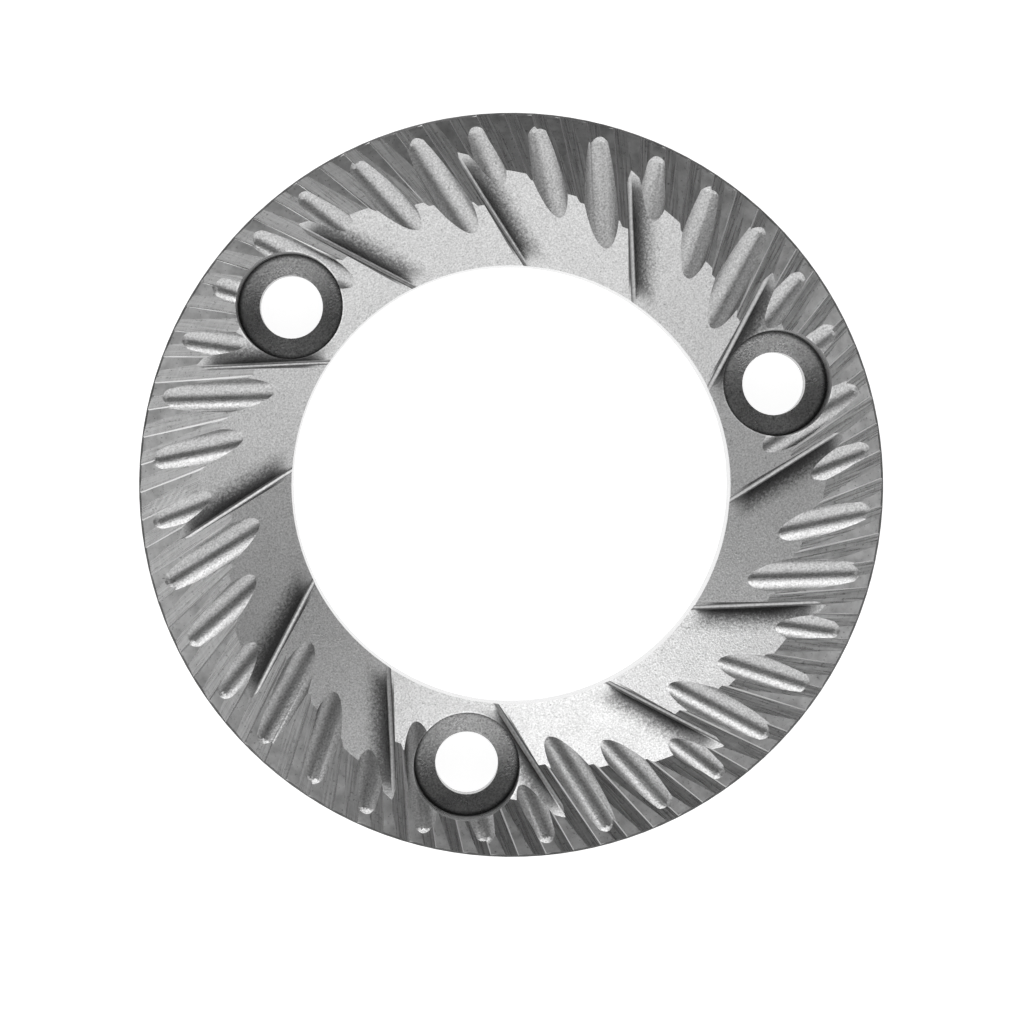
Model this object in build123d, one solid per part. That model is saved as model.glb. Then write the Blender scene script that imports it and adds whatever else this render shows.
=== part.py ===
from build123d import *
from math import acos, cos, degrees, radians, sin, sqrt, tan
import os

# A flat grinding burr, lying on its back with the teeth up.
# Millimetres. The origin is the centre of the back face, +Z points out of the toothed face
# and one screw hole lies on +X.
# "Clockwise" is as seen looking down on the teeth.

# Ring
OUTER_DIAMETER = 64.0
BORE_DIAMETER = 38.0
THICKNESS = 9.0
RIM_CHAMFER = 0.2  # round the toothed face
BACK_CHAMFER = 0.4  # round the back face and its bore

# Screw holes: a screw head sinks into a pocket in the toothed face, on a slightly dished seat.
SCREW_COUNT = 3
SCREW_CIRCLE = 49.2
SCREW_HOLE_DIAMETER = 5.5
POCKET_DIAMETER = 9.2
POCKET_DEPTH = 5.8  # to the rim of the seat
SEAT_FALL = 7.5  # dish of the seat, towards its hole

# Breakers: each is a steep wall, the end of one scoop that falls towards the bore and climbs
# clockwise up to the next wall. The floor of a scoop is part of a wide shallow cone.
BREAKER_COUNT = 12
BREAKER_OFFSET = 10.6  # from the burr's axis to a wall, at the toothed face
BREAKER_DRAFT = 5.0  # how far a wall leans back
SCOOP_REACH = 29.2  # radius at which a scoop runs out beside its own wall
SCOOP_END_RADIUS = 24.5  # radius at which it runs out at the next wall
SCOOP_EDGE_RADIUS = 50.0  # how the edge of a scoop bows in plan
SCOOP_SLOPE = 26.5
SCOOP_CORNER = 0.4  # bevel along the foot of a wall

# Flutes: round grooves that deepen inwards from a blunt outer end and run out on the scoops.
FLUTE_OFFSET = 8.5  # from the burr's axis to the bottom line of a flute
FLUTE_START_RADIUS = 30.4
FLUTE_START_DEPTH = 0.22
FLUTE_END_TAPER = 15.0  # half angle of the cone that blunts the outer end
FLUTE_LAG = 5.3  # clockwise from a wall to its first flute, where flutes start
FLUTE_DIAMETER = 3.3
FLUTE_SLOPE = 7.2
FLUTE_END_RADII = (24.9, 22.4, 20.6)  # one for each flute after a wall, clockwise

# Finishing teeth: shallow saw-tooth grooves that open at the rim, with flat lands between them.
TEETH_PER_BREAKER = 7
TOOTH_OFFSET = 11.2  # from the burr's axis to the bottom line of a groove
TOOTH_LAG = 2.5  # clockwise from the line of a wall to the next groove, at the rim
TOOTH_RIM_DEPTH = 0.1
TOOTH_SLOPE = 0.6  # fall of the bottom line towards the bore
TOOTH_WALL = 45.0  # steep side, off the burr's axis
TOOTH_RISE = 6.3  # shallow side, off the face

OVERRUN = 1.0  # how far cutting shapes run past the surfaces they leave

outer_radius = OUTER_DIAMETER / 2
bore_radius = BORE_DIAMETER / 2
sector = 360 / BREAKER_COUNT


def along(offset, radius):
    """Distance along a line that passes the axis at offset, out to the given radius."""
    return sqrt(radius**2 - offset**2)


def bearing(offset, radius):
    """Angle from the foot of such a line to its point at the given radius."""
    return degrees(acos(offset / radius))


# A wall stands midway between two neighbouring screw holes' bearings on the screw circle.
wall_angle = sector / 2 - bearing(BREAKER_OFFSET, SCREW_CIRCLE / 2)
flute_angle = (
    wall_angle
    + bearing(BREAKER_OFFSET, FLUTE_START_RADIUS)
    - FLUTE_LAG
    - bearing(FLUTE_OFFSET, FLUTE_START_RADIUS)
)
tooth_angle = (
    wall_angle
    + bearing(BREAKER_OFFSET, outer_radius)
    - TOOTH_LAG
    - bearing(TOOTH_OFFSET, outer_radius)
)


def spread(shape, first_angle, count):
    """Copies of a shape, evenly round the axis."""
    return [Rot(0, 0, first_angle + 360 / count * i) * shape for i in range(count)]


def groove_plane(offset, radius, depth, slope):
    """Section plane of a groove that falls inwards: X runs clockwise, Y up, Z inwards."""
    inwards = Vector(0, -cos(radians(slope)), -sin(radians(slope)))
    bottom = Vector(offset, along(offset, radius), THICKNESS - depth)
    return Plane(bottom, x_dir=(1, 0, 0), z_dir=inwards)


def make_blank():
    ring = Cylinder(outer_radius, THICKNESS, align=(Align.CENTER, Align.CENTER, Align.MIN))
    ring -= Cylinder(bore_radius, THICKNESS, align=(Align.CENTER, Align.CENTER, Align.MIN))
    ring = chamfer(ring.faces().sort_by(Axis.Z)[-1].outer_wire().edges(), RIM_CHAMFER)
    return chamfer(ring.faces().sort_by(Axis.Z)[0].edges(), BACK_CHAMFER)


def make_scoop():
    """One scoop, with the top of its wall on the plane x = BREAKER_OFFSET."""
    start = Vector(BREAKER_OFFSET, along(BREAKER_OFFSET, SCOOP_REACH))
    end = Vector(BREAKER_OFFSET, along(BREAKER_OFFSET, SCOOP_END_RADIUS)).rotate(Axis.Z, -sector)
    chord = end - start
    inwards = Vector(chord.Y, -chord.X).normalized()
    sag_centre = sqrt(SCOOP_EDGE_RADIUS**2 - (chord.length / 2) ** 2)
    centre = (start + end) / 2 + inwards * sag_centre

    fall = tan(radians(SCOOP_SLOPE))
    cone = Pos(centre.X, centre.Y, THICKNESS + OVERRUN) * Cone(
        SCOOP_EDGE_RADIUS - THICKNESS / fall,
        SCOOP_EDGE_RADIUS + OVERRUN / fall,
        THICKNESS + OVERRUN,
        align=(Align.CENTER, Align.CENTER, Align.MAX),
    )
    near = along(BREAKER_OFFSET, bore_radius) - 2 * OVERRUN
    far = along(BREAKER_OFFSET, outer_radius)
    side = [Vector(BREAKER_OFFSET - OVERRUN, near), Vector(BREAKER_OFFSET - OVERRUN, far)]
    past_next = Vector(2 * OVERRUN, 0)
    next_side = [(point + past_next).rotate(Axis.Z, -sector) for point in side]
    outline = Polyline(*side, *reversed(next_side), close=True)
    scoop = extrude(make_face(outline), THICKNESS + OVERRUN) & cone

    lean = Vector(cos(radians(BREAKER_DRAFT)), 0, sin(radians(BREAKER_DRAFT)))
    wall_plane = Plane((BREAKER_OFFSET, 0, THICKNESS), x_dir=(0, 1, 0), z_dir=lean)
    scoop = split(scoop, wall_plane, keep=Keep.TOP)
    wall = scoop.faces().filter_by(wall_plane)[0]
    return chamfer(wall.edges().sort_by(Axis.Z)[0], SCOOP_CORNER)


def make_flute(end_radius):
    """One flute, with its bottom line on the plane x = FLUTE_OFFSET."""
    plane = groove_plane(FLUTE_OFFSET, FLUTE_START_RADIUS, FLUTE_START_DEPTH, FLUTE_SLOPE)
    length = along(FLUTE_OFFSET, FLUTE_START_RADIUS) - along(FLUTE_OFFSET, end_radius)
    radius = FLUTE_DIAMETER / 2
    body = plane * Pos(0, radius) * Cylinder(
        radius, length / cos(radians(FLUTE_SLOPE)), align=(Align.CENTER, Align.CENTER, Align.MIN)
    )
    tip_radius = radius - 2 * FLUTE_START_DEPTH
    tip = plane * Pos(0, radius) * Cone(
        tip_radius,
        radius,
        (radius - tip_radius) / tan(radians(FLUTE_END_TAPER)),
        align=(Align.CENTER, Align.CENTER, Align.MAX),
    )
    return body + tip


def make_tooth_groove():
    """One finishing groove, with its bottom line at x = TOOTH_OFFSET."""
    plane = groove_plane(TOOTH_OFFSET, outer_radius, TOOTH_RIM_DEPTH, TOOTH_SLOPE)
    length = along(TOOTH_OFFSET, outer_radius) - along(TOOTH_OFFSET, SCOOP_END_RADIUS - OVERRUN)
    height = TOOTH_RIM_DEPTH + (length + OVERRUN) * tan(radians(TOOTH_SLOPE))
    wall_top = (-height * tan(radians(TOOTH_WALL)), height)
    rise_top = (height / tan(radians(TOOTH_RISE)), height)
    section = make_face(Polyline((0, 0), rise_top, wall_top, close=True))
    return extrude(plane * section, length) + extrude(plane * section, -2 * OVERRUN)


def make_screw_hole():
    """One screw hole with its head pocket, on +X."""
    hole = Cylinder(SCREW_HOLE_DIAMETER / 2, THICKNESS, align=(Align.CENTER, Align.CENTER, Align.MIN))
    pocket = Pos(0, 0, THICKNESS - POCKET_DEPTH) * Cylinder(
        POCKET_DIAMETER / 2, POCKET_DEPTH + OVERRUN, align=(Align.CENTER, Align.CENTER, Align.MIN)
    )
    seat_depth = (POCKET_DIAMETER - SCREW_HOLE_DIAMETER) / 2 * tan(radians(SEAT_FALL))
    seat = Pos(0, 0, THICKNESS - POCKET_DEPTH) * Cone(
        SCREW_HOLE_DIAMETER / 2,
        POCKET_DIAMETER / 2,
        seat_depth,
        align=(Align.CENTER, Align.CENTER, Align.MAX),
    )
    return Pos(SCREW_CIRCLE / 2, 0, 0) * (hole + seat + pocket)


def make_burr():
    burr = make_blank()
    burr -= spread(make_tooth_groove(), tooth_angle, BREAKER_COUNT * TEETH_PER_BREAKER)
    burr -= spread(make_scoop(), wall_angle, BREAKER_COUNT)
    flute_step = sector / len(FLUTE_END_RADII)
    for i, end_radius in enumerate(FLUTE_END_RADII):
        burr -= spread(make_flute(end_radius), flute_angle - flute_step * i, BREAKER_COUNT)
    burr -= spread(make_screw_hole(), 0, SCREW_COUNT)
    return burr


burr = make_burr()
burr.label = "burr"

os.makedirs("parts", exist_ok=True)
export_step(burr, "parts/burr.step")
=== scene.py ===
from math import acos, atan2, cos, degrees, hypot, radians, sin, tan, tau

import bmesh
import bpy
from mathutils import Matrix, Vector


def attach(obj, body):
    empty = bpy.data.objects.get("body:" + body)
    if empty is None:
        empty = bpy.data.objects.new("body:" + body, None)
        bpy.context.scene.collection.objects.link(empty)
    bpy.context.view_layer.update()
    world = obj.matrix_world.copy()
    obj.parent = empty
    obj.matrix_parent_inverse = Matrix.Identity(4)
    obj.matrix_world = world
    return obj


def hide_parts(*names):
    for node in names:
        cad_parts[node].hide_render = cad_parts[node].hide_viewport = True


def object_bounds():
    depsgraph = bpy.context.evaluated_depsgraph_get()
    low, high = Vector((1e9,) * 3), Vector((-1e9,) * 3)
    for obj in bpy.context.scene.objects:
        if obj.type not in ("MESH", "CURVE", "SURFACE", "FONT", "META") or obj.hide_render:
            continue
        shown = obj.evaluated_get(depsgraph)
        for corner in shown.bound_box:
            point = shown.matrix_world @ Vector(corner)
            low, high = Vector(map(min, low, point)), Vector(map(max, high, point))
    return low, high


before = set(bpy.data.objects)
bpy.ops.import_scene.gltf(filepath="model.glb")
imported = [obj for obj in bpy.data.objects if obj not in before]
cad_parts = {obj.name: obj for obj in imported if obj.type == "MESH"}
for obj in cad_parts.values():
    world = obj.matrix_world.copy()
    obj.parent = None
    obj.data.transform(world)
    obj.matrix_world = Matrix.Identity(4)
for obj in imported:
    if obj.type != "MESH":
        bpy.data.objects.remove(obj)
cad_low, cad_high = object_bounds()

# The burr: one ring of hardened tool steel, lying on its back with the teeth up.
# The hollows are milled and then blasted, the finishing grooves are milled with a fine cutter,
# and the lands, the back and the rim are ground or turned last, so each surface has its own finish.
MM = 0.001
FACE_HEIGHT = cad_high.z
RIM_RADIUS = cad_high.x
BORE_RADIUS = 19.0 * MM
CLOSE = 0.02 * MM  # a point this near a surface counts as on it
MERGE_GAP = 0.0001 * MM

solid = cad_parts["burr"]
ring = bpy.data.objects.new("burr_ring", solid.data.copy())
bpy.context.scene.collection.objects.link(ring)
solid_normals = [corner.vector.copy() for corner in ring.data.corner_normals]
ring.data.materials.clear()

# Three screw pockets, each with a dished seat.
SCREW_CIRCLE_RADIUS = 24.6 * MM
SCREW_BEARINGS = (0, 120, 240)
POCKET_RADIUS = 4.6 * MM

screw_centres = []
for degrees_round in SCREW_BEARINGS:
    way = Vector((cos(radians(degrees_round)), sin(radians(degrees_round)), 0))
    screw_centres.append(way * SCREW_CIRCLE_RADIUS)


def in_screw_hole(point):
    """True on the walls and floor of a screw pocket and of the hole below it."""
    return any((point - centre).xy.length < POCKET_RADIUS + CLOSE for centre in screw_centres)


# Twelve breaker walls, each with a narrow bevel along its foot.
BREAKER_OFFSET = 10.6 * MM
BREAKER_DRAFT = radians(5.0)
SECTOR = radians(30.0)
WALL_ANGLE = SECTOR / 2 - acos(BREAKER_OFFSET / SCREW_CIRCLE_RADIUS)
FOOT_REACH = 0.9 * MM
FOOT_LEAN = (0.45, 0.62)  # share of a bevel's normal that points away from its wall


def within(value, span):
    """True between the two ends of a span."""
    return span[0] < value < span[1]


def from_wall(point):
    """Distance clockwise from the nearest breaker wall, and the way that wall looks."""
    from_axis = hypot(point.x, point.y)
    turn = WALL_ANGLE - atan2(point.y, point.x) + acos(BREAKER_OFFSET / from_axis)
    bearing = WALL_ANGLE - (turn - turn % SECTOR)
    gap = point.x * cos(bearing) + point.y * sin(bearing) - BREAKER_OFFSET
    return gap, Vector((cos(bearing), sin(bearing), 0))


def in_foot_bevel(point, normal):
    """True on the narrow bevel between a breaker wall and its scoop."""
    gap, across = from_wall(point)
    return gap < FOOT_REACH and within(normal.dot(across), FOOT_LEAN)


# A face's finish follows from its place and its tilt, in degrees off level.
SCOOP, FLUTE, FOOT, WALL, GROUND, MILLED, TOOTH, POCKET, TURNED, BORE, EDGE = range(11)
UPRIGHT_RISE = 0.01  # an upright face's normal rises less than this
LEVEL_RISE = 0.99999  # and a level one's more than this
BACK_HEIGHT = 0.5 * MM  # the back and its chamfers lie below this
RIM_BAND = 0.3 * MM
CHAMFER_BAND = 0.15 * MM
CHAMFER_RISE = 0.8
SEAT_HEIGHT = 4.0 * MM  # the screw seats lie below this, and the scoops round them above it
TOOTH_DEPTH = 0.25 * MM
GROOVE_FLOOR_TILT = (5.5, 7.5)
TOOTH_WALL_TILT = (44.0, 46.0)
BREAKER_WALL_TILT = (84.0, 86.0)
SCOOP_TILT = (24.5, 28.5)
SCOOP_INWARDS = 0.7  # least share of a scoop's slope that falls towards the axis


def finish_of(face):
    """Which finish a face of the ring has, from where it lies and which way it looks."""
    point = face.calc_center_median()
    rise = face.normal.z
    lean = hypot(face.normal.x, face.normal.y)
    upright = abs(rise) < UPRIGHT_RISE
    from_axis = hypot(point.x, point.y)
    below_face = FACE_HEIGHT - point.z
    if point.z < BACK_HEIGHT or (upright and from_axis > RIM_RADIUS - RIM_BAND):
        return TURNED
    if upright and from_axis < BORE_RADIUS + CLOSE:
        return BORE
    if from_axis > RIM_RADIUS - CHAMFER_BAND and rise < CHAMFER_RISE:
        return EDGE
    if in_screw_hole(point) and (upright or point.z < SEAT_HEIGHT):
        return POCKET
    if below_face < CLOSE and rise > LEVEL_RISE:
        return GROUND
    tilt = degrees(atan2(lean, rise))
    if below_face < TOOTH_DEPTH and within(tilt, GROOVE_FLOOR_TILT):
        return MILLED
    if below_face < TOOTH_DEPTH and within(tilt, TOOTH_WALL_TILT):
        return TOOTH
    if within(tilt, BREAKER_WALL_TILT):
        return WALL
    if in_foot_bevel(point, face.normal):
        return FOOT
    inwards = -(face.normal.x * point.x + face.normal.y * point.y) / from_axis
    if within(tilt, SCOOP_TILT) and inwards > SCOOP_INWARDS * lean:
        return SCOOP
    return FLUTE


bm = bmesh.new()
bm.from_mesh(ring.data)
bmesh.ops.remove_doubles(bm, verts=bm.verts, dist=MERGE_GAP)
for face in bm.faces:
    face.material_index = finish_of(face)
bm.to_mesh(ring.data)
bm.free()


def corners_of(*finishes):
    """Each corner of the faces that have one of these finishes: its face, number and vertex."""
    for face in ring.data.polygons:
        if face.material_index in finishes:
            for corner, vertex in zip(face.loop_indices, face.vertices):
                yield face, corner, ring.data.vertices[vertex]


# The foot bevels are shaded as the small rounding that a worn cutter leaves.
AT_WALL = 0.15 * MM
LEAN_AT_WALL = 0.3
LEAN_AT_SCOOP = -0.85

for face, corner, vertex in corners_of(FOOT):
    across = from_wall(face.center)[1]
    wall_here = BREAKER_OFFSET + (FACE_HEIGHT - vertex.co.z) * tan(BREAKER_DRAFT)
    lean = LEAN_AT_WALL if vertex.co.dot(across) - wall_here < AT_WALL else LEAN_AT_SCOOP
    solid_normals[corner] = (face.normal + across * lean).normalized()

# The crests of the teeth are shaded as a little rounded, as use leaves them.
LIFT_AT_CREST = 0.9
LIFT_BELOW = 0.3

for face, corner, vertex in corners_of(TOOTH):
    lift = LIFT_AT_CREST if vertex.co.z > FACE_HEIGHT - CLOSE else LIFT_BELOW
    solid_normals[corner] = (face.normal + Vector((0, 0, lift))).normalized()

# The blunt end of a flute is shaded as one with the flute, as a ball cutter leaves it.
FLUTE_CREASE = radians(25.0)

flute_corners = {}
for face, corner, vertex in corners_of(FLUTE):
    flute_corners.setdefault(vertex.index, []).append((face.center.xy.length, corner))
for meeting in flute_corners.values():
    inner = solid_normals[min(meeting)[1]]
    smooth = [corner for _, corner in meeting if solid_normals[corner].angle(inner) < FLUTE_CREASE]
    blend = sum((solid_normals[corner] for corner in smooth), Vector()).normalized()
    for corner in smooth:
        solid_normals[corner] = blend

# The rim and the bore are true cylinders, so they are shaded with no seam.
for face, corner, vertex in corners_of(TURNED, BORE):
    if abs(face.normal.z) <= UPRIGHT_RISE:
        outwards = vertex.co.xy.normalized().to_3d()
        solid_normals[corner] = outwards if face.material_index == TURNED else -outwards
ring.data.normals_split_custom_set(solid_normals)


def add(tree, kind, inputs=None, **settings):
    """Adds a node; inputs gives each socket a value or the socket that feeds it."""
    made = tree.nodes.new(kind)
    for name, value in settings.items():
        setattr(made, name, value)
    for key, value in (inputs or {}).items():
        if isinstance(value, bpy.types.NodeSocket):
            tree.links.new(value, made.inputs[key])
        else:
            made.inputs[key].default_value = value
    return made


def arith(tree, operation, first, second=0.0):
    """One sum on two values or sockets."""
    return add(tree, "ShaderNodeMath", {0: first, 1: second}, operation=operation).outputs[0]


def vector_sum(tree, operation, first, second=(0, 0, 0)):
    """One sum on two vectors that gives a vector."""
    return add(tree, "ShaderNodeVectorMath", {0: first, 1: second}, operation=operation).outputs[0]


def measure(tree, operation, first, second=(0, 0, 0)):
    """One sum on two vectors that gives a number."""
    made = add(tree, "ShaderNodeVectorMath", {0: first, 1: second}, operation=operation)
    return made.outputs["Value"]


def noise(tree, vector, scale, detail=2.0, rough=0.5):
    """Grey noise between 0 and 1."""
    made = add(
        tree,
        "ShaderNodeTexNoise",
        {"Vector": vector, "Scale": scale, "Detail": detail, "Roughness": rough},
    )
    return made.outputs["Fac"]


def ramp(tree, value, low, high, to_low=0.0, to_high=1.0, smooth=True):
    """A value stretched from one range to another, and held at its ends."""
    made = add(
        tree,
        "ShaderNodeMapRange",
        {0: value, 1: low, 2: high, 3: to_low, 4: to_high},
        interpolation_type="SMOOTHSTEP" if smooth else "LINEAR",
    )
    return made.outputs[0]


def new_group(name, inputs, outputs):
    """An empty shader group with the named value sockets."""
    tree = bpy.data.node_groups.new(name, "ShaderNodeTree")
    for socket in inputs:
        tree.interface.new_socket(socket, in_out="INPUT", socket_type="NodeSocketFloat")
    for socket in outputs:
        tree.interface.new_socket(socket, in_out="OUTPUT", socket_type="NodeSocketFloat")
    return tree, tree.nodes.new("NodeGroupInput"), tree.nodes.new("NodeGroupOutput")


def shaded_point(tree):
    """The point on the ring, the same point laid flat, and its distance from the axis."""
    at = add(tree, "ShaderNodeTexCoord").outputs["Object"]
    flat = vector_sum(tree, "MULTIPLY", at, (1, 1, 0))
    return at, flat, measure(tree, "LENGTH", flat)


def line_bearing(tree, at, from_axis, offset):
    """Bearing of the foot of a line that passes the axis at offset, and the angle out from it."""
    parts = add(tree, "ShaderNodeSeparateXYZ", {0: at})
    angle = arith(tree, "ARCTAN2", parts.outputs["Y"], parts.outputs["X"])
    out = arith(tree, "ARCCOSINE", arith(tree, "DIVIDE", offset, from_axis))
    return arith(tree, "SUBTRACT", angle, out), out


# Blasting leaves small pits that crowd together, a coarser cloudiness and a few dark specks.
# Scales of noise are in cells to the metre.
CLOUD_SCALE = 400.0
SPECK_SCALE = 4200.0
SPECK_SPAN = (0.26, 0.4)  # the lowest noise is a full speck

blast_tree, blast_in, blast_out = new_group("blast_pits", ["Pit Size"], ["Pits", "Clouds", "Specks"])
blast_at = add(blast_tree, "ShaderNodeTexCoord").outputs["Object"]
blast_scale = arith(blast_tree, "DIVIDE", 1.0, blast_in.outputs["Pit Size"])
blast_pits = noise(blast_tree, blast_at, blast_scale, detail=3.0, rough=0.55)
blast_clouds = noise(blast_tree, blast_at, CLOUD_SCALE)
blast_specks = noise(blast_tree, blast_at, SPECK_SCALE, rough=0.6)
blast_specks = ramp(blast_tree, blast_specks, *SPECK_SPAN, 1.0, 0.0)
blast_tree.links.new(blast_pits, blast_out.inputs["Pits"])
blast_tree.links.new(blast_clouds, blast_out.inputs["Clouds"])
blast_tree.links.new(blast_specks, blast_out.inputs["Specks"])

# Grinding and turning leave rings round the axis, and handling leaves patches.
PATCH_SCALE = 700.0

ring_tree, ring_in, ring_out = new_group("ring_marks", ["Mark Width", "Mark Length"], ["Marks", "Patches"])
ring_at, ring_flat, ring_from_axis = shaded_point(ring_tree)
ring_height = add(ring_tree, "ShaderNodeSeparateXYZ", {0: ring_at}).outputs["Z"]
ring_way = add(ring_tree, "ShaderNodeSeparateXYZ", {0: vector_sum(ring_tree, "NORMALIZE", ring_flat)})
ring_turns = arith(ring_tree, "DIVIDE", RIM_RADIUS, ring_in.outputs["Mark Length"])
ring_across = arith(ring_tree, "ADD", ring_from_axis, ring_height)
ring_vector = add(
    ring_tree,
    "ShaderNodeCombineXYZ",
    {
        0: arith(ring_tree, "MULTIPLY", ring_way.outputs["X"], ring_turns),
        1: arith(ring_tree, "MULTIPLY", ring_way.outputs["Y"], ring_turns),
        2: arith(ring_tree, "DIVIDE", ring_across, ring_in.outputs["Mark Width"]),
    },
)
ring_tree.links.new(noise(ring_tree, ring_vector.outputs[0], 1.0), ring_out.inputs["Marks"])
ring_patches = noise(ring_tree, ring_at, PATCH_SCALE, detail=3.0, rough=0.6)
ring_tree.links.new(ring_patches, ring_out.inputs["Patches"])

# The cutter's lines run along each finishing groove, which is a line that passes the axis at one
# distance, so the bearing of its foot is the same all along a groove.
TOOTH_OFFSET = 11.2 * MM
ALONG_SCALE = 350.0

line_tree, line_in, line_out = new_group("groove_lines", ["Line Width"], ["Lines"])
line_at, _, line_from_axis = shaded_point(line_tree)
line_turn, _ = line_bearing(line_tree, line_at, line_from_axis, TOOTH_OFFSET)
line_turns = arith(line_tree, "DIVIDE", RIM_RADIUS, line_in.outputs["Line Width"])
line_vector = add(
    line_tree,
    "ShaderNodeCombineXYZ",
    {
        0: arith(line_tree, "MULTIPLY", arith(line_tree, "COSINE", line_turn), line_turns),
        1: arith(line_tree, "MULTIPLY", arith(line_tree, "SINE", line_turn), line_turns),
        2: arith(line_tree, "MULTIPLY", line_from_axis, ALONG_SCALE),
    },
)
line_tree.links.new(noise(line_tree, line_vector.outputs[0], 1.0), line_out.inputs["Lines"])

# Painted shade: beside each breaker wall the scoop is darkened, as the corner by the wall lies in shade,
# and the painted shade fades clockwise.
SHADE_GRAIN_SCALE = 4500.0
SHADE_GRAIN = 2.4 * MM  # how far the grain breaks up the edge of the painted shade
SHADE_FADE = (0.3, 0.95)  # shares of the painted shade's width
SHADE_OUTER_END = (27.0 * MM, 25.2 * MM)  # along the wall
SHADE_INNER_END = (19.2 * MM, 20.8 * MM)  # from the axis

shade_tree, shade_in, shade_out = new_group("wall_shade", ["Width"], ["Shade"])
shade_at, _, shade_from_axis = shaded_point(shade_tree)
shade_turn, shade_foot = line_bearing(shade_tree, shade_at, shade_from_axis, BREAKER_OFFSET)
shade_lag = arith(shade_tree, "SUBTRACT", WALL_ANGLE, shade_turn)
shade_lag = arith(shade_tree, "FLOORED_MODULO", shade_lag, SECTOR)
shade_along = arith(shade_tree, "MULTIPLY", arith(shade_tree, "SINE", shade_foot), shade_from_axis)
shade_gap = arith(shade_tree, "MULTIPLY", shade_lag, shade_along)
shade_blur = noise(shade_tree, shade_at, SHADE_GRAIN_SCALE, detail=3.0, rough=0.6)
shade_blur = arith(shade_tree, "MULTIPLY", shade_blur, SHADE_GRAIN)
shade_blur = arith(shade_tree, "SUBTRACT", shade_blur, SHADE_GRAIN / 2)
shade_gap = arith(shade_tree, "ADD", shade_gap, shade_blur)
shade_fade = arith(shade_tree, "DIVIDE", shade_gap, shade_in.outputs["Width"])
shade = ramp(shade_tree, shade_fade, *SHADE_FADE, 1.0, 0.0)
shade = arith(shade_tree, "MULTIPLY", shade, ramp(shade_tree, shade_along, *SHADE_OUTER_END))
shade = arith(shade_tree, "MULTIPLY", shade, ramp(shade_tree, shade_from_axis, *SHADE_INNER_END))
shade_tree.links.new(shade, shade_out.inputs["Shade"])

# Painted shade darkens the corner round each screw seat, and a painted highlight brightens the edge round
# the mouth of each pocket.
CORNER_FADE = (-2.0, -0.2)  # in ring widths from the pocket's wall
MOUTH_FADE = (0.5, 0.9)
CORNER_HEIGHT = (3.5 * MM, 5.0 * MM)  # full painted shade to none, up the pocket's wall

screw_tree, screw_in, screw_out = new_group("screw_rings", ["Ring Width"], ["Corner", "Mouth Highlight"])
screw_at, screw_flat, _ = shaded_point(screw_tree)
screw_height = add(screw_tree, "ShaderNodeSeparateXYZ", {0: screw_at}).outputs["Z"]
screw_gaps = [measure(screw_tree, "DISTANCE", screw_flat, centre) for centre in screw_centres]
screw_far = screw_gaps[0]
for screw_gap in screw_gaps[1:]:
    screw_far = arith(screw_tree, "MINIMUM", screw_far, screw_gap)
screw_edge = arith(screw_tree, "SUBTRACT", screw_far, POCKET_RADIUS)
screw_edge = arith(screw_tree, "DIVIDE", screw_edge, screw_in.outputs["Ring Width"])
screw_low = ramp(screw_tree, screw_height, *CORNER_HEIGHT, 1.0, 0.0)
screw_corner_shade = arith(screw_tree, "MULTIPLY", ramp(screw_tree, screw_edge, *CORNER_FADE), screw_low)
screw_tree.links.new(screw_corner_shade, screw_out.inputs["Corner"])
screw_tree.links.new(ramp(screw_tree, screw_edge, *MOUTH_FADE, 1.0, 0.0), screw_out.inputs["Mouth Highlight"])

# At one place on the teeth the cutter chattered and left a row of short slanting dashes.
CHATTER_CENTRE = (-28.1 * MM, 9.4 * MM, FACE_HEIGHT)
CHATTER_TURN = radians(-53.0)
CHATTER_GROOVE = radians(7.0)
CHATTER_ENDS = (1.4 * MM, 2.6 * MM)
CHATTER_SIDES = (0.35 * MM, 0.6 * MM)
CHATTER_BEAT = (-0.4, 0.5)

chatter_tree, chatter_in, chatter_out = new_group("chatter", ["Pitch"], ["Dashes"])
chatter_at = add(chatter_tree, "ShaderNodeTexCoord").outputs["Object"]
chatter_near = vector_sum(chatter_tree, "SUBTRACT", chatter_at, CHATTER_CENTRE)
chatter_row = (cos(CHATTER_TURN), sin(CHATTER_TURN), 0)
chatter_along = measure(chatter_tree, "DOT_PRODUCT", chatter_near, chatter_row)
chatter_far = measure(chatter_tree, "LENGTH", chatter_near)
chatter_beat = arith(chatter_tree, "DIVIDE", chatter_along, chatter_in.outputs["Pitch"])
chatter_beat = arith(chatter_tree, "SINE", arith(chatter_tree, "MULTIPLY", chatter_beat, tau))
chatter_across = (-sin(CHATTER_GROOVE), cos(CHATTER_GROOVE), 0)
chatter_side = measure(chatter_tree, "DOT_PRODUCT", chatter_near, chatter_across)
chatter_side = arith(chatter_tree, "ABSOLUTE", chatter_side)
dashes = ramp(chatter_tree, chatter_far, *CHATTER_ENDS, 1.0, 0.0)
dashes = arith(chatter_tree, "MULTIPLY", dashes, ramp(chatter_tree, chatter_side, *CHATTER_SIDES, 1.0, 0.0))
dashes = arith(chatter_tree, "MULTIPLY", dashes, ramp(chatter_tree, chatter_beat, *CHATTER_BEAT))
chatter_tree.links.new(dashes, chatter_out.inputs["Dashes"])

NOISE_SPAN = (0.25, 0.75)  # nearly all of a noise lies in this range


def steel(name, brushed=0.0):
    """A steel material with its shader; brushed steel spreads its glints round the axis."""
    made = bpy.data.materials.new(name)
    made.use_nodes = True
    shader = made.node_tree.nodes["Principled BSDF"]
    shader.inputs["Metallic"].default_value = 1.0
    if brushed:
        shader.inputs["Anisotropic"].default_value = brushed
        tangent = add(made.node_tree, "ShaderNodeTangent", direction_type="RADIAL", axis="Z")
        made.node_tree.links.new(tangent.outputs[0], shader.inputs["Tangent"])
    ring.data.materials.append(made)
    return made.node_tree, shader


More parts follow.
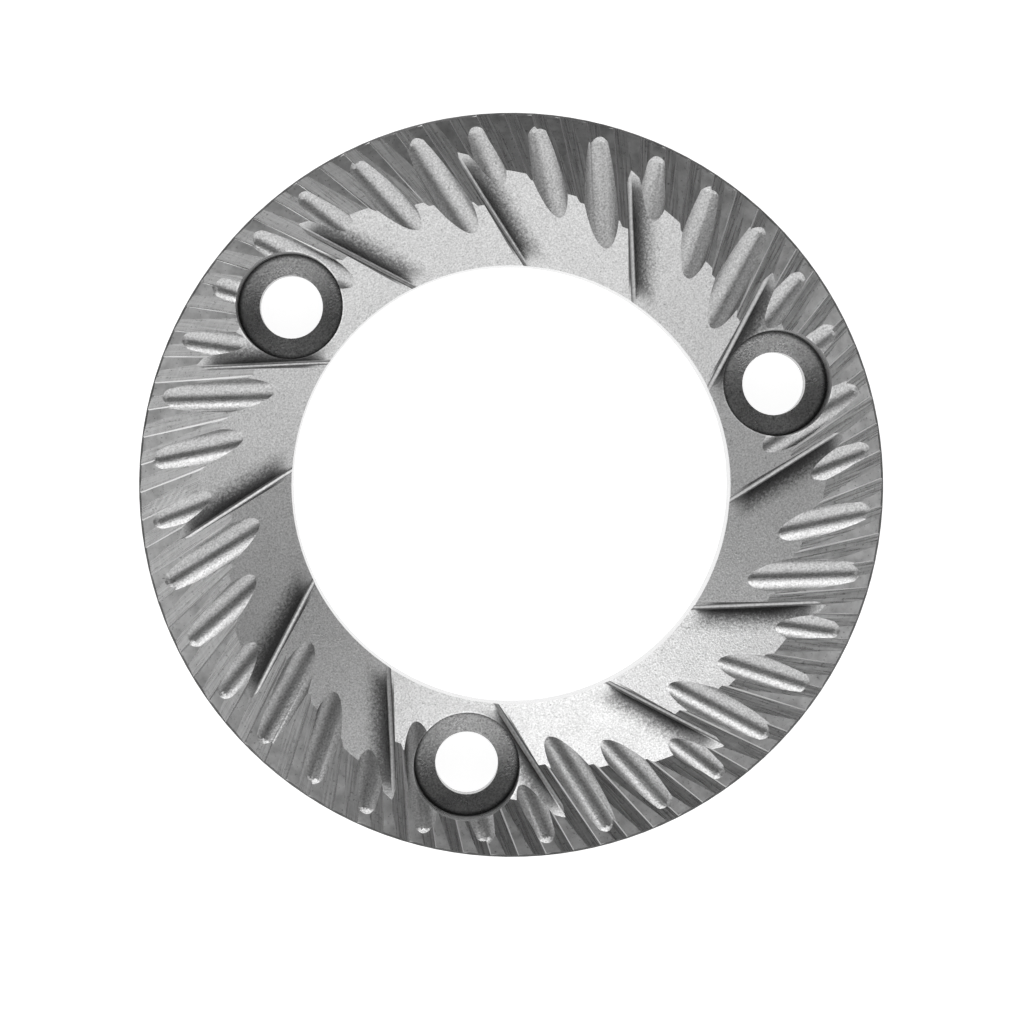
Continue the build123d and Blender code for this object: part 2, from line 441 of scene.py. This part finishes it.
def place(tree, group, **values):
    """Places a finish group in a material and gives its outputs."""
    inputs = {name.replace("_", " "): value for name, value in values.items()}
    return add(tree, "ShaderNodeGroup", inputs, node_tree=group).outputs


def set_finish(tree, shader, tone, rough, bump, stains_and_painted_light=()):
    """Links grey tone and roughness, each a mask with two ends, and bump, a mask with its depth.

    A stain, a painted shade or a painted highlight is a mask and the share of the tone that is left where
    the mask is full.
    """
    tone_mask, dark, light = tone
    grey = ramp(tree, tone_mask, *NOISE_SPAN, dark, light, smooth=False)
    for overlay_mask, left in stains_and_painted_light:
        grey = arith(tree, "MULTIPLY", grey, ramp(tree, overlay_mask, 0, 1, 1.0, left, smooth=False))
    colour = add(tree, "ShaderNodeCombineColor", {0: grey, 1: grey, 2: grey})
    tree.links.new(colour.outputs[0], shader.inputs["Base Color"])
    rough_mask, glossy, dull = rough
    roughness = ramp(tree, rough_mask, *NOISE_SPAN, glossy, dull, smooth=False)
    tree.links.new(roughness, shader.inputs["Roughness"])
    height, depth = bump
    relief = add(tree, "ShaderNodeBump", {"Strength": 1.0, "Distance": depth, "Height": height})
    tree.links.new(relief.outputs["Normal"], shader.inputs["Normal"])


# The scoop's tone carries painted shade beside each breaker wall and a painted highlight round each pocket
# mouth.
tree, shader = steel("scoop_steel")
blast = place(tree, blast_tree, Pit_Size=0.15 * MM)
shade = place(tree, shade_tree, Width=3.1 * MM)
screw = place(tree, screw_tree, Ring_Width=0.16 * MM)
set_finish(
    tree,
    shader,
    tone=(blast["Pits"], 0.42, 0.82),
    rough=(blast["Clouds"], 0.34, 0.4),
    bump=(blast["Pits"], 0.026 * MM),
    stains_and_painted_light=[(shade["Shade"], 0.22), (blast["Specks"], 0.65), (screw["Mouth Highlight"], 1.2)],
)

# The flute's tone carries a painted highlight round each pocket mouth.
tree, shader = steel("flute_steel")
blast = place(tree, blast_tree, Pit_Size=0.16 * MM)
screw = place(tree, screw_tree, Ring_Width=0.16 * MM)
set_finish(
    tree,
    shader,
    tone=(blast["Pits"], 0.31, 0.72),
    rough=(blast["Clouds"], 0.27, 0.33),
    bump=(blast["Pits"], 0.016 * MM),
    stains_and_painted_light=[(blast["Specks"], 0.65), (screw["Mouth Highlight"], 1.25)],
)

tree, shader = steel("foot_steel")
blast = place(tree, blast_tree, Pit_Size=0.22 * MM)
set_finish(
    tree,
    shader,
    tone=(blast["Pits"], 0.38, 0.6),
    rough=(blast["Clouds"], 0.3, 0.38),
    bump=(blast["Pits"], 0.008 * MM),
)

tree, shader = steel("wall_steel")
blast = place(tree, blast_tree, Pit_Size=0.2 * MM)
set_finish(
    tree,
    shader,
    tone=(blast["Pits"], 0.08, 0.14),
    rough=(blast["Clouds"], 0.4, 0.5),
    bump=(blast["Pits"], 0.006 * MM),
)

BRUSHED = 0.8
CHATTER_PITCH = 0.4 * MM

tree, shader = steel("ground_steel", BRUSHED)
blast = place(tree, blast_tree, Pit_Size=0.16 * MM)
chatter = place(tree, chatter_tree, Pitch=CHATTER_PITCH)
marks = place(tree, ring_tree, Mark_Width=0.12 * MM, Mark_Length=3.0 * MM)
set_finish(
    tree,
    shader,
    tone=(marks["Patches"], 0.36, 0.7),
    rough=(marks["Marks"], 0.32, 0.44),
    bump=(marks["Marks"], 0.0008 * MM),
    stains_and_painted_light=[(blast["Specks"], 0.5), (chatter["Dashes"], 1.3)],
)

tree, shader = steel("milled_steel", BRUSHED)
blast = place(tree, blast_tree, Pit_Size=0.16 * MM)
chatter = place(tree, chatter_tree, Pitch=CHATTER_PITCH)
lines = place(tree, line_tree, Line_Width=0.16 * MM)
marks = place(tree, ring_tree, Mark_Width=0.2 * MM, Mark_Length=6.0 * MM)
set_finish(
    tree,
    shader,
    tone=(lines["Lines"], 0.56, 0.84),
    rough=(lines["Lines"], 0.24, 0.34),
    bump=(lines["Lines"], 0.0006 * MM),
    stains_and_painted_light=[(blast["Specks"], 0.5), (chatter["Dashes"], 1.18), (marks["Marks"], 0.7)],
)

tree, shader = steel("tooth_steel")
lines = place(tree, line_tree, Line_Width=0.16 * MM)
set_finish(
    tree,
    shader,
    tone=(lines["Lines"], 0.3, 0.48),
    rough=(lines["Lines"], 0.14, 0.22),
    bump=(lines["Lines"], 0.001 * MM),
)

# The pocket's tone carries painted shade in the corner round each screw seat.
tree, shader = steel("pocket_steel")
blast = place(tree, blast_tree, Pit_Size=0.16 * MM)
screw = place(tree, screw_tree, Ring_Width=0.25 * MM)
set_finish(
    tree,
    shader,
    tone=(blast["Pits"], 0.19, 0.58),
    rough=(blast["Clouds"], 0.24, 0.32),
    bump=(blast["Pits"], 0.02 * MM),
    stains_and_painted_light=[(screw["Corner"], 0.12), (blast["Specks"], 0.6)],
)

tree, shader = steel("turned_steel")
marks = place(tree, ring_tree, Mark_Width=0.3 * MM, Mark_Length=40.0 * MM)
set_finish(
    tree,
    shader,
    tone=(marks["Marks"], 0.42, 0.54),
    rough=(marks["Patches"], 0.24, 0.32),
    bump=(marks["Marks"], 0.0015 * MM),
)

tree, shader = steel("bore_steel")
marks = place(tree, ring_tree, Mark_Width=0.1 * MM, Mark_Length=20.0 * MM)
set_finish(
    tree,
    shader,
    tone=(marks["Marks"], 0.5, 0.62),
    rough=(marks["Patches"], 0.17, 0.23),
    bump=(marks["Marks"], 0.001 * MM),
)

tree, shader = steel("edge_steel")
marks = place(tree, ring_tree, Mark_Width=0.1 * MM, Mark_Length=6.0 * MM)
set_finish(
    tree,
    shader,
    tone=(marks["Patches"], 0.06, 0.14),
    rough=(marks["Marks"], 0.3, 0.4),
    bump=(marks["Marks"], 0.002 * MM),
)

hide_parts("burr")
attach(ring, "root")

# The floor: a plain white sheet under the burr, far wider than the view. It lies a hair below the
# back face, and is clear from below so that the back can be looked at.
FLOOR_SIDE = 4.0
FLOOR_GAP = 0.05 * MM
FLOOR_GREY = (0.4, 0.4, 0.4, 1)
FLOOR_ROUGHNESS = 0.9
WHITE = (1, 1, 1, 1)
FLOOR_GLOW = 0.92

floor_mesh = bpy.data.meshes.new("floor")
bm = bmesh.new()
bmesh.ops.create_grid(bm, x_segments=1, y_segments=1, size=FLOOR_SIDE / 2)
bmesh.ops.translate(bm, verts=bm.verts, vec=(0, 0, cad_low.z - FLOOR_GAP))
bm.to_mesh(floor_mesh)
bm.free()
floor = bpy.data.objects.new("floor", floor_mesh)
bpy.context.scene.collection.objects.link(floor)

white_floor = bpy.data.materials.new("white_floor")
white_floor.use_nodes = True
tree = white_floor.node_tree
shader = tree.nodes["Principled BSDF"]
shader.inputs["Base Color"].default_value = FLOOR_GREY
shader.inputs["Roughness"].default_value = FLOOR_ROUGHNESS
shader.inputs["Emission Color"].default_value = WHITE
shader.inputs["Emission Strength"].default_value = FLOOR_GLOW
from_below = add(tree, "ShaderNodeNewGeometry").outputs["Backfacing"]
clear = add(tree, "ShaderNodeBsdfTransparent").outputs[0]
sheet = add(tree, "ShaderNodeMixShader", {0: from_below, 1: shader.outputs[0], 2: clear})
tree.links.new(sheet.outputs[0], tree.nodes["Material Output"].inputs["Surface"])
floor_mesh.materials.append(white_floor)

# The light: a white table in front, a soft light over the top and paler sides, round a dark
# room behind the camera, as studio steel is lit. Each span says where a light starts and where it
# is full, or where it begins and ends to fade, as the share of a direction that points its way.
VIEW_TURN = radians(-21.0)
VIEW_RIGHT = Vector((cos(VIEW_TURN), sin(VIEW_TURN), 0))
VIEW_UP = Vector((-sin(VIEW_TURN), cos(VIEW_TURN), 0))
ROOM = 0.075
TABLE = 1.1
TABLE_SPAN = (-0.28, -0.1)
TABLE_SIDES = (0.35, 1.0)
TABLE_SIDE_SHARE = 0.3
TABLE_NEAR_END = (-0.99, -0.88)
TOP_LIGHT = 2.0
TOP_SPAN = (0.4, 0.7)
TOP_SIDES = (0.36, 0.7)
TOP_SLANT = 0.4
TOP_FAR_END = (0.86, 1.0)
END_SHARE = 0.1  # what is left of the table and the top light past their ends
KEY_LIGHT = 0.5
KEY = (VIEW_RIGHT * 0.43 + VIEW_UP * 0.65 + Vector((0, 0, 0.63))).normalized()
KEY_SPAN = (0.93, 0.99)
LEFT_LIGHT = 0.34
LEFT_SPAN = (-0.4, -0.72)
RIGHT_LIGHT = 0.25
RIGHT_SPAN = (0.5, 0.8)

world = bpy.data.worlds.new("studio")
world.use_nodes = True
bpy.context.scene.world = world
tree = world.node_tree
towards = add(tree, "ShaderNodeTexCoord").outputs["Generated"]
upwards = measure(tree, "DOT_PRODUCT", towards, VIEW_UP)
rightwards = measure(tree, "DOT_PRODUCT", towards, VIEW_RIGHT)
sideways = arith(tree, "ABSOLUTE", rightwards)

table_glow = ramp(tree, upwards, *TABLE_SPAN, TABLE, 0)
table_glow = arith(tree, "MULTIPLY", table_glow, ramp(tree, sideways, *TABLE_SIDES, 1.0, TABLE_SIDE_SHARE))
table_glow = arith(tree, "MULTIPLY", table_glow, ramp(tree, upwards, *TABLE_NEAR_END, END_SHARE, 1.0))
top_glow = ramp(tree, upwards, *TOP_SPAN, 0, TOP_LIGHT)
top_glow = arith(tree, "MULTIPLY", top_glow, ramp(tree, sideways, *TOP_SIDES, 1.0, END_SHARE))
top_far = arith(tree, "ADD", upwards, arith(tree, "MULTIPLY", rightwards, TOP_SLANT))
top_glow = arith(tree, "MULTIPLY", top_glow, ramp(tree, top_far, *TOP_FAR_END, 1.0, END_SHARE))
key_glow = ramp(tree, measure(tree, "DOT_PRODUCT", towards, KEY), *KEY_SPAN, 0, KEY_LIGHT)
left_glow = ramp(tree, rightwards, *LEFT_SPAN, 0, LEFT_LIGHT)
right_glow = ramp(tree, rightwards, *RIGHT_SPAN, 0, RIGHT_LIGHT)
glow = table_glow
for light in (top_glow, key_glow, left_glow, right_glow, ROOM):
    glow = arith(tree, "ADD", glow, light)
tree.links.new(glow, tree.nodes["Background"].inputs["Strength"])
tree.nodes["Background"].inputs["Color"].default_value = WHITE
bpy.context.scene.view_settings.view_transform = "Standard"

# The camera: far above the teeth and a little to one side of the axis, so that one side of each
# screw pocket shows more than the other.
VIEW_DISTANCE = 400 * MM
VIEW_WIDTH = 88.02 * MM
CAMERA_FOOT = (-5.0 * MM, 4.0 * MM)
VIEW_CENTRE = (0.04 * MM, -2.29 * MM)
NEAREST_SEEN = 10 * MM
FARTHEST_SEEN = 10.0

camera = bpy.data.objects.new("camera", bpy.data.cameras.new("camera"))
bpy.context.scene.collection.objects.link(camera)
target = VIEW_RIGHT * VIEW_CENTRE[0] + VIEW_UP * VIEW_CENTRE[1] + Vector((0, 0, FACE_HEIGHT))
station = VIEW_RIGHT * CAMERA_FOOT[0] + VIEW_UP * CAMERA_FOOT[1]
station += Vector((0, 0, FACE_HEIGHT + VIEW_DISTANCE))
back = (station - target).normalized()
right = VIEW_UP.cross(back).normalized()
up = back.cross(right)
camera.matrix_world = Matrix.Translation(station) @ Matrix((right, up, back)).transposed().to_4x4()
camera.data.lens = camera.data.sensor_width * (station - target).length / VIEW_WIDTH
camera.data.clip_start = NEAREST_SEEN
camera.data.clip_end = FARTHEST_SEEN
bpy.context.scene.camera = camera
